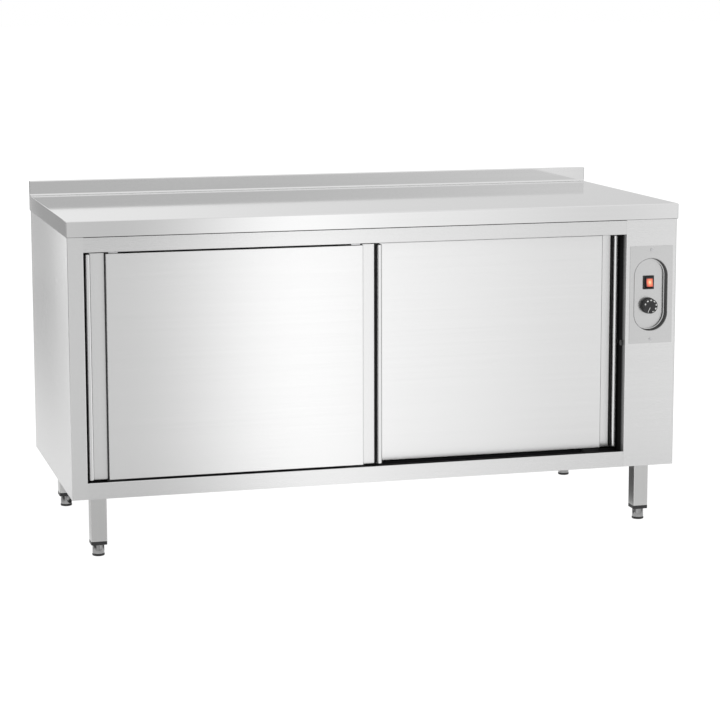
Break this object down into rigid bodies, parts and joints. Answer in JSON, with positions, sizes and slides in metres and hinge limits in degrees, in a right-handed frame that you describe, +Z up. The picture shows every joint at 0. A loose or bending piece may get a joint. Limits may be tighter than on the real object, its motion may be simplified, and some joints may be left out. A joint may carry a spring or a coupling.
{
  "type": "plate warmer cabinet",
  "caption": "Stainless steel plate warmer cabinet with a worktop, rear upstand, sliding doors, side control panel and adjustable legs.",
  "frame": {"origin": "on the floor under the middle of the worktop's outline", "axes": "+X to the right along the front, +Y from the front to the rear, +Z up"},
  "size_m": [1.6, 0.7, 0.89],
  "materials": {
    "worktop_steel": "fine brushed stainless steel, grain along the worktop",
    "body_steel": "fine brushed stainless steel",
    "door_steel": "fine brushed stainless steel, grain along the door",
    "panel_steel": "fine brushed stainless steel",
    "liner_steel": "dull stainless steel inside the cabinet",
    "rear_steel": "dull stainless steel sheet",
    "leg_steel": "satin stainless steel tube",
    "foot_steel": "satin stainless steel on a dark pad",
    "fastener_steel": "bright plated steel",
    "heater_steel": "dark annealed sheath",
    "track_aluminium": "plain extruded aluminium",
    "motor_paint": "dark enamel",
    "black_plastic": "matt black moulding",
    "white_plastic": "natural nylon",
    "red_lens": "clear orange-red lens",
    "buffer_rubber": "black rubber",
    "board": "raw board",
    "wool": "mineral wool",
    "door_foam": "stiff foam board"
  },
  "bodies": {
    "cabinet": {"worktop": "worktop_steel", "worktop_core": "board", "left_side_panel": "body_steel", "right_side_panel": "body_steel", "rear_panel": "rear_steel", "base_panel": "rear_steel", "top_rail": "body_steel", "bottom_rail": "body_steel", "control_box_front": "body_steel", "partition_panel": "liner_steel", "compartment_floor": "liner_steel", "left_liner": "liner_steel", "rear_liner": "liner_steel", "ceiling_liner": "liner_steel", "insulation_slabs": "wool", "door_track": "track_aluminium", "bottom_guides": "track_aluminium", "door_buffers": "buffer_rubber", "shelf": "liner_steel", "shelf_uprights": "liner_steel", "shelf_clips": "liner_steel", "control_plate": "panel_steel", "control_plate_screws": "fastener_steel", "switch_housing": "black_plastic", "thermostat_body": "black_plastic", "fan_shroud": "liner_steel", "fan_motor": "motor_paint", "motor_screws": "fastener_steel", "heater": "heater_steel", "terminal_block": "white_plastic", "cable_gland": "black_plastic", "legs": "leg_steel", "leg_bolts": "fastener_steel", "leg_plugs": "black_plastic", "panel_screws": "fastener_steel"},
    "thermostat_knob": {"thermostat_knob": "black_plastic", "thermostat_shaft": "fastener_steel"},
    "switch_rocker": {"switch_rocker": "red_lens"},
    "fan": {"fan_wheel": "track_aluminium", "fan_shaft": "fastener_steel"},
    "front_left_foot": {"front_left_foot": "foot_steel"},
    "front_right_foot": {"front_right_foot": "foot_steel"},
    "rear_left_foot": {"rear_left_foot": "foot_steel"},
    "rear_right_foot": {"rear_right_foot": "foot_steel"},
    "left_door": {"left_door_front_skin": "door_steel", "left_door_rear_skin": "door_steel", "left_door_core": "door_foam", "left_door_handles": "door_steel", "left_door_hangers": "fastener_steel", "left_door_guide_shoes": "white_plastic"},
    "left_door_left_roller": {"left_door_left_roller": "white_plastic"},
    "left_door_right_roller": {"left_door_right_roller": "white_plastic"},
    "right_door": {"right_door_front_skin": "door_steel", "right_door_rear_skin": "door_steel", "right_door_core": "door_foam", "right_door_handles": "door_steel", "right_door_hangers": "fastener_steel", "right_door_guide_shoes": "white_plastic"},
    "right_door_left_roller": {"right_door_left_roller": "white_plastic"},
    "right_door_right_roller": {"right_door_right_roller": "white_plastic"}
  },
  "joints": [
    {"name": "left_door_slide", "type": "slide", "parent": "cabinet", "child": "left_door", "axis": [1, 0, 0], "range_m": [0, 0.653]},
    {"name": "right_door_slide", "type": "slide", "parent": "cabinet", "child": "right_door", "axis": [-1, 0, 0], "range_m": [0, 0.653]},
    {"name": "thermostat_turn", "type": "hinge", "parent": "cabinet", "child": "thermostat_knob", "pos_m": [0.728, -0.328, 0.581], "axis": [0, 1, 0], "range_deg": [0, 270]},
    {"name": "switch_rock", "type": "hinge", "parent": "cabinet", "child": "switch_rocker", "pos_m": [0.728, -0.323, 0.642], "axis": [1, 0, 0], "range_deg": [0, 18]},
    {"name": "fan_spin", "type": "hinge", "parent": "cabinet", "child": "fan", "pos_m": [0.7, 0.06, 0.482], "axis": [1, 0, 0], "continuous": true},
    {"name": "left_door_left_roller_turn", "type": "hinge", "parent": "left_door", "child": "left_door_left_roller", "pos_m": [-0.684, -0.318, 0.793], "axis": [0, 1, 0], "continuous": true},
    {"name": "left_door_right_roller_turn", "type": "hinge", "parent": "left_door", "child": "left_door_right_roller", "pos_m": [-0.069, -0.318, 0.793], "axis": [0, 1, 0], "continuous": true},
    {"name": "right_door_left_roller_turn", "type": "hinge", "parent": "right_door", "child": "right_door_left_roller", "pos_m": [-0.031, -0.282, 0.793], "axis": [0, 1, 0], "continuous": true},
    {"name": "right_door_right_roller_turn", "type": "hinge", "parent": "right_door", "child": "right_door_right_roller", "pos_m": [0.584, -0.282, 0.793], "axis": [0, 1, 0], "continuous": true},
    {"name": "front_left_foot_lift", "type": "slide", "parent": "cabinet", "child": "front_left_foot", "axis": [0, 0, -1], "range_m": [0, 0.02]},
    {"name": "front_right_foot_lift", "type": "slide", "parent": "cabinet", "child": "front_right_foot", "axis": [0, 0, -1], "range_m": [0, 0.02]},
    {"name": "rear_left_foot_lift", "type": "slide", "parent": "cabinet", "child": "rear_left_foot", "axis": [0, 0, -1], "range_m": [0, 0.02]},
    {"name": "rear_right_foot_lift", "type": "slide", "parent": "cabinet", "child": "rear_right_foot", "axis": [0, 0, -1], "range_m": [0, 0.02]}
  ],
  "couplings": [
    {"joint": "left_door_left_roller_turn", "follows": "left_door_slide", "rad_per_m": 100},
    {"joint": "left_door_right_roller_turn", "follows": "left_door_slide", "rad_per_m": 100},
    {"joint": "right_door_left_roller_turn", "follows": "right_door_slide", "rad_per_m": -100},
    {"joint": "right_door_right_roller_turn", "follows": "right_door_slide", "rad_per_m": -100}
  ]
}
